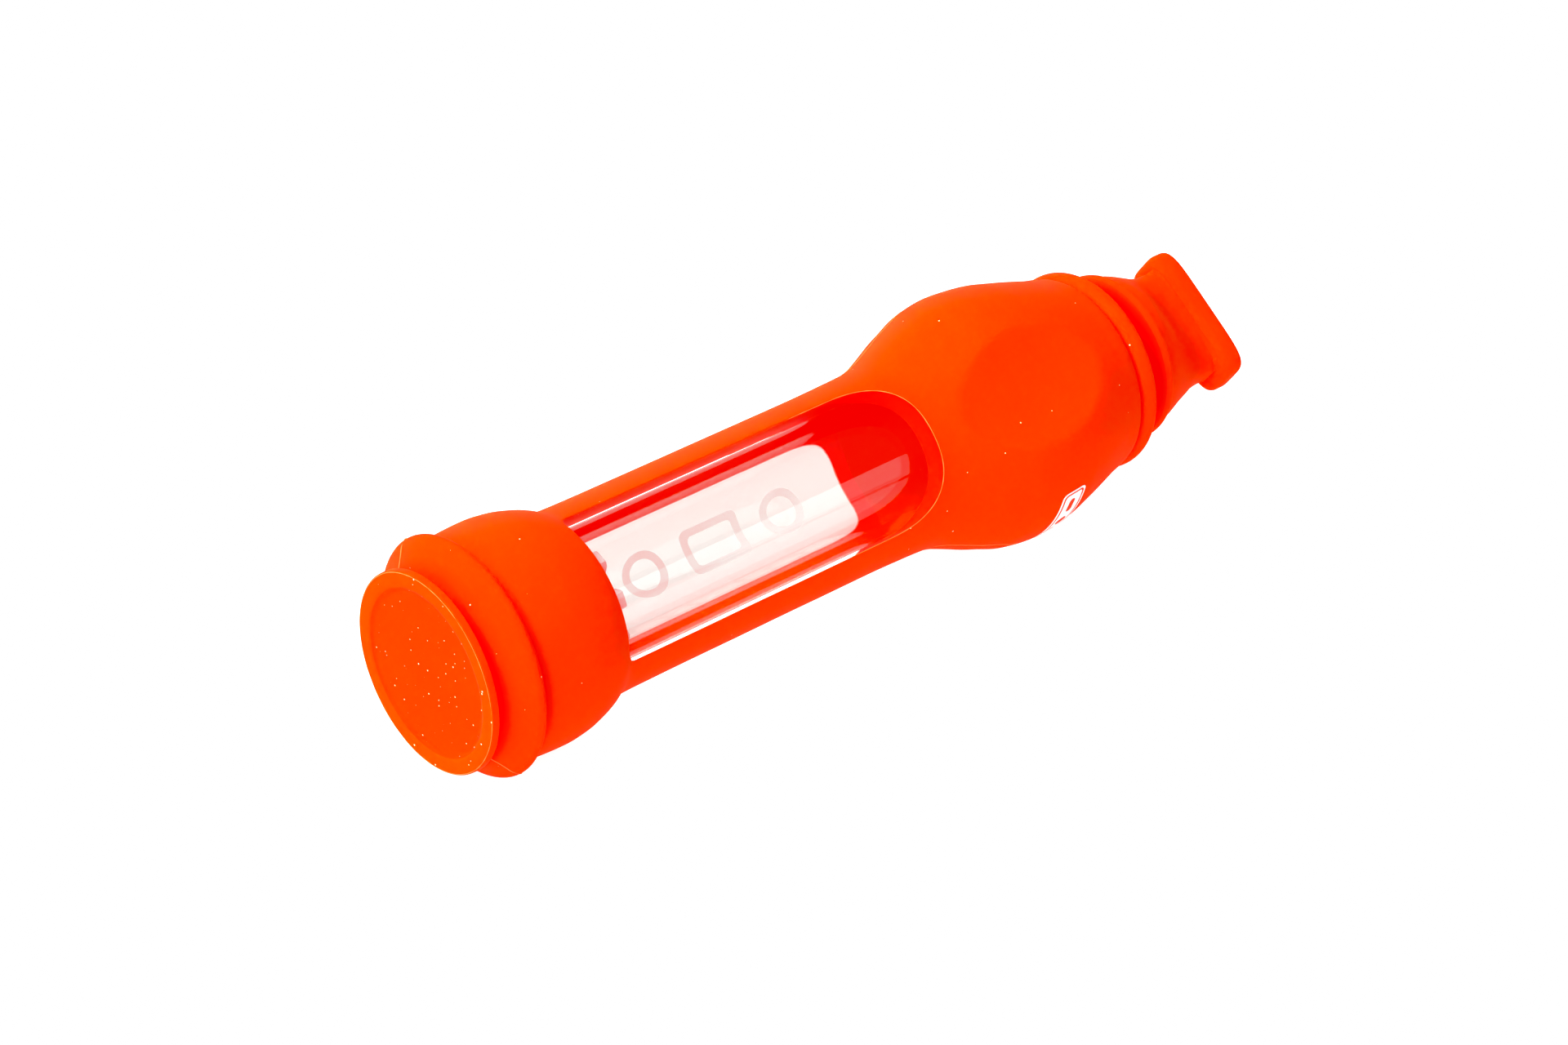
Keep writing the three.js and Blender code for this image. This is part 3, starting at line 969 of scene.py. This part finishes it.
def make_stage():
    """A wide floor, tilted as the pipe lies on its bulb and its bead, which glows like a light table."""
    tilt = math.atan2(BULB_R - BEAD_R, BULB_X - BEAD_X)
    foot = Vector((START + MM * BULB_X, AXIS_Y, AXIS_Z - MM * BULB_R))
    mesh = bpy.data.meshes.new("floor")
    s = FLOOR_HALF
    mesh.from_pydata([(-s, -s, 0), (s, -s, 0), (s, s, 0), (-s, s, 0)], [], [(0, 1, 2, 3)])
    floor = bpy.data.objects.new("floor", mesh)
    floor.matrix_world = Matrix.Translation(foot) @ Matrix.Rotation(tilt, 4, "Y")
    bpy.context.scene.collection.objects.link(floor)
    material, shader = new_material("pale_floor")
    shader.inputs["Base Color"].default_value = (0.3, 0.3, 0.3, 1)
    shader.inputs["Emission Color"].default_value = (1, 1, 1, 1)
    shader.inputs["Emission Strength"].default_value = FLOOR_GLOW
    shader.inputs["Roughness"].default_value = 0.9
    shader.inputs["Specular IOR Level"].default_value = 0.1
    mesh.materials.append(material)


def area_light(name, place, target, size, energy):
    data = bpy.data.lights.new(name, "AREA")
    data.shape = "RECTANGLE"
    data.size, data.size_y = size
    data.energy = energy
    obj = bpy.data.objects.new(name, data)
    obj.location = place
    obj.rotation_euler = (Vector(target) - Vector(place)).to_track_quat("-Z", "Y").to_euler()
    bpy.context.scene.collection.objects.link(obj)


def make_lights():
    world = bpy.data.worlds.new("studio")
    world.use_nodes = True
    background = world.node_tree.nodes["Background"]
    background.inputs["Color"].default_value = (1, 1, 1, 1)
    background.inputs["Strength"].default_value = WORLD_GLOW
    bpy.context.scene.world = world
    middle = (0, 0, AXIS_Z)
    area_light("top_softbox", (-0.38, 0.2, 0.72), middle, (0.8, 0.6), 18.5)
    area_light("left_softbox", (-0.8, -0.3, 0.3), middle, (0.4, 0.3), 8.0)
    area_light("back_softbox", (0.1, 0.6, 0.13), middle, (1.4, 0.26), 3.5)
    area_light("front_fill", (0.6, -0.55, 0.25), middle, (0.5, 0.4), 1.0)


def make_camera():
    """A 105 mm lens that looks down 32 degrees, with the pipe turned 41 degrees across the view."""
    turn, down = CAMERA_TURN, CAMERA_DOWN
    right = Vector((math.cos(turn), -math.sin(turn), 0))
    ahead = Vector((math.sin(turn) * math.cos(down), math.cos(turn) * math.cos(down), -math.sin(down)))
    up = right.cross(ahead)
    disc = Vector((START, AXIS_Y, AXIS_Z))
    place = disc - MM * (DISC_RIGHT * right + DISC_UP * up + DISC_AHEAD * ahead)
    data = bpy.data.cameras.new("camera")
    data.lens = 105
    data.sensor_width = 36
    data.clip_start = 0.01
    data.clip_end = 50
    camera = bpy.data.objects.new("camera", data)
    axes = Matrix((right, up, -ahead)).transposed()
    camera.matrix_world = Matrix.Translation(place) @ axes.to_4x4()
    bpy.context.scene.collection.objects.link(camera)
    bpy.context.scene.camera = camera


# Each grade is a channel's (in, out) points: reds saturate early, and weak greens and blues sink.
GRADES = [
    [(0.1, 0.45), (0.25, 0.82), (0.45, 0.92), (0.95, 0.95)],
    [(0.016, 0.0), (0.04, 0.016), (0.062, 0.06), (0.2, 0.2)],
    [(0.014, 0.0), (0.06, 0.06), (0.2, 0.2)],
]


def make_grade():
    """A film-like grade, with deep contrast."""
    view = bpy.context.scene.view_settings
    view.view_transform = "Standard"
    view.gamma = 0.8
    view.use_curve_mapping = True
    view.curve_mapping.extend = "HORIZONTAL"
    for channel, grade in zip(view.curve_mapping.curves, GRADES):
        for level in grade:
            channel.points.new(*level).handle_type = "VECTOR"
    view.curve_mapping.update()


# Pieces on their bodies

CUT_START, CUT_END = 50, 67
# painted shade: the cut wall is darkened from x 50 to 62 mm towards the grip end
CUT_PAINTED_SHADE = ("x", 50, 62, CUT_SHADE_RED)
RECESS_R = 9.9
COVE_END = 4
# painted shade: the cove behind the disc is darkened towards its bottom, from r 12.4 to 9.9 mm
COVE_PAINTED_SHADE = ("r", 12.4, 9.9, COVE_SHADE_RED)
GROOVE_START, GROOVE_END = 98.9, 102.6
# painted shade: the valley between the rings is darkened towards its bottom, from r 10.5 to 9.8 mm
GROOVE_PAINTED_SHADE = ("r", 10.5, 9.8, GROOVE_SHADE_RED)


def finish_piece(obj, body, cad_node, material):
    obj.data.materials.append(material)
    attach(obj, body)
    if cad_node:
        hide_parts(cad_node)


def paint_faces(obj, choose, materials):
    """Gives each face the material that choose(x, r) numbers: 0 for the piece's own, 1 up for these."""
    for material in materials:
        obj.data.materials.append(material)
    for face in obj.data.polygons:
        face.material_index = choose(*pipe_place(face.center))


def build_sleeve():
    sleeve = make_sleeve()
    waver(sleeve, 0.02, 9, 4)
    finish_piece(sleeve, "sleeve", "sleeve", silicone("sleeve_silicone", ORANGE, 1, 0.06))

    def choose(x, r):
        return int(CUT_START < x < CUT_END and BORE_R + 0.02 < r < curve_r(x) - 0.15)

    # the cut wall's faces get the silicone with the painted shade
    paint_faces(sleeve, choose, [silicone("sleeve_cut_painted_shade", ORANGE, 1, 0.0, deep=CUT_PAINTED_SHADE)])


def build_stopper():
    stopper = make_stopper()
    finish_piece(stopper, "bowl_stopper", "bowl_stopper",
                 silicone("stopper_silicone", STOPPER_ORANGE, 2, 0.2))

    def choose(x, r):
        # the disc's rim gets the painted-light orange, its recessed face the painted-shade orange
        if x < DISC_BACK:
            return 1 if r > RECESS_R else 2
        # the cove's faces get the silicone with the painted shade
        return 3 if x < COVE_END and r > 9.5 else 0

    paint_faces(stopper, choose, [
        silicone("stopper_flange_painted_light", FLANGE_PAINTED_LIGHT_ORANGE, 2, 0.2),
        silicone("stopper_face_painted_shade", FACE_PAINTED_SHADE_ORANGE, 2, 0.7, flat=True),
        silicone("stopper_cove_painted_shade", STOPPER_ORANGE, 2, 0.2, deep=COVE_PAINTED_SHADE),
    ])


def build_mouthpiece():
    mouthpiece = make_mouthpiece()
    finish_piece(mouthpiece, "mouthpiece", "mouthpiece",
                 silicone("mouthpiece_silicone", ORANGE, 3, 0.06))

    def choose(x, r):
        # the valley's faces get the silicone with the painted shade
        return int(GROOVE_START < x < GROOVE_END and r > 9)

    paint_faces(mouthpiece, choose, [silicone("mouthpiece_groove_painted_shade", ORANGE, 3, 0.06, deep=GROOVE_PAINTED_SHADE)])


def build_glass():
    tube = make_tube()
    finish_piece(tube, "glass", "glass_tube",
                 clear_glass("clear_glass", 0.0, (0.82, 0.8, 0.785)))
    screen = make_screen()
    finish_piece(screen, "glass", "glass_screen",
                 clear_glass("screen_glass", 0.05, (0.95, 0.84, 0.84), 0.6))
    for piece in (tube, screen):
        piece.visible_shadow = False


def build_prints():
    panel, marks = make_badge()
    finish_piece(panel, "sleeve", None, plain("badge_white", (0.86, 0.84, 0.84), 0.6))
    finish_piece(marks, "sleeve", None, plain("badge_orange", ORANGE, 0.7))
    motif = make_motif()
    finish_piece(motif, "glass", None, clear_glass("frosted_print", 0.45, (1, 1, 1), 0.75))
    motif.visible_shadow = False


def build_flash_and_rim_highlight():
    material = plain("mould_flash_and_rim_highlight", FLASH_AND_HIGHLIGHT_PALE, 0.6)
    bead = ridge("stopper_flash", BEAD_FLASH_LINE, FLASH_WIDTH, 0.06)
    finish_piece(bead, "bowl_stopper", None, material)
    # the thread round the disc's rim is a painted highlight
    finish_piece(make_rim_highlight_thread(), "bowl_stopper", None, material)
    bulb = ridge("sleeve_flash", BULB_FLASH_LINE, FLASH_WIDTH, 0.05)
    finish_piece(bulb, "sleeve", None, material)
    finish_piece(make_window_flash(), "sleeve", None, material)


make_camera()
make_lights()
make_stage()
build_sleeve()
build_stopper()
build_mouthpiece()
build_glass()
build_prints()
build_flash_and_rim_highlight()
make_grade()
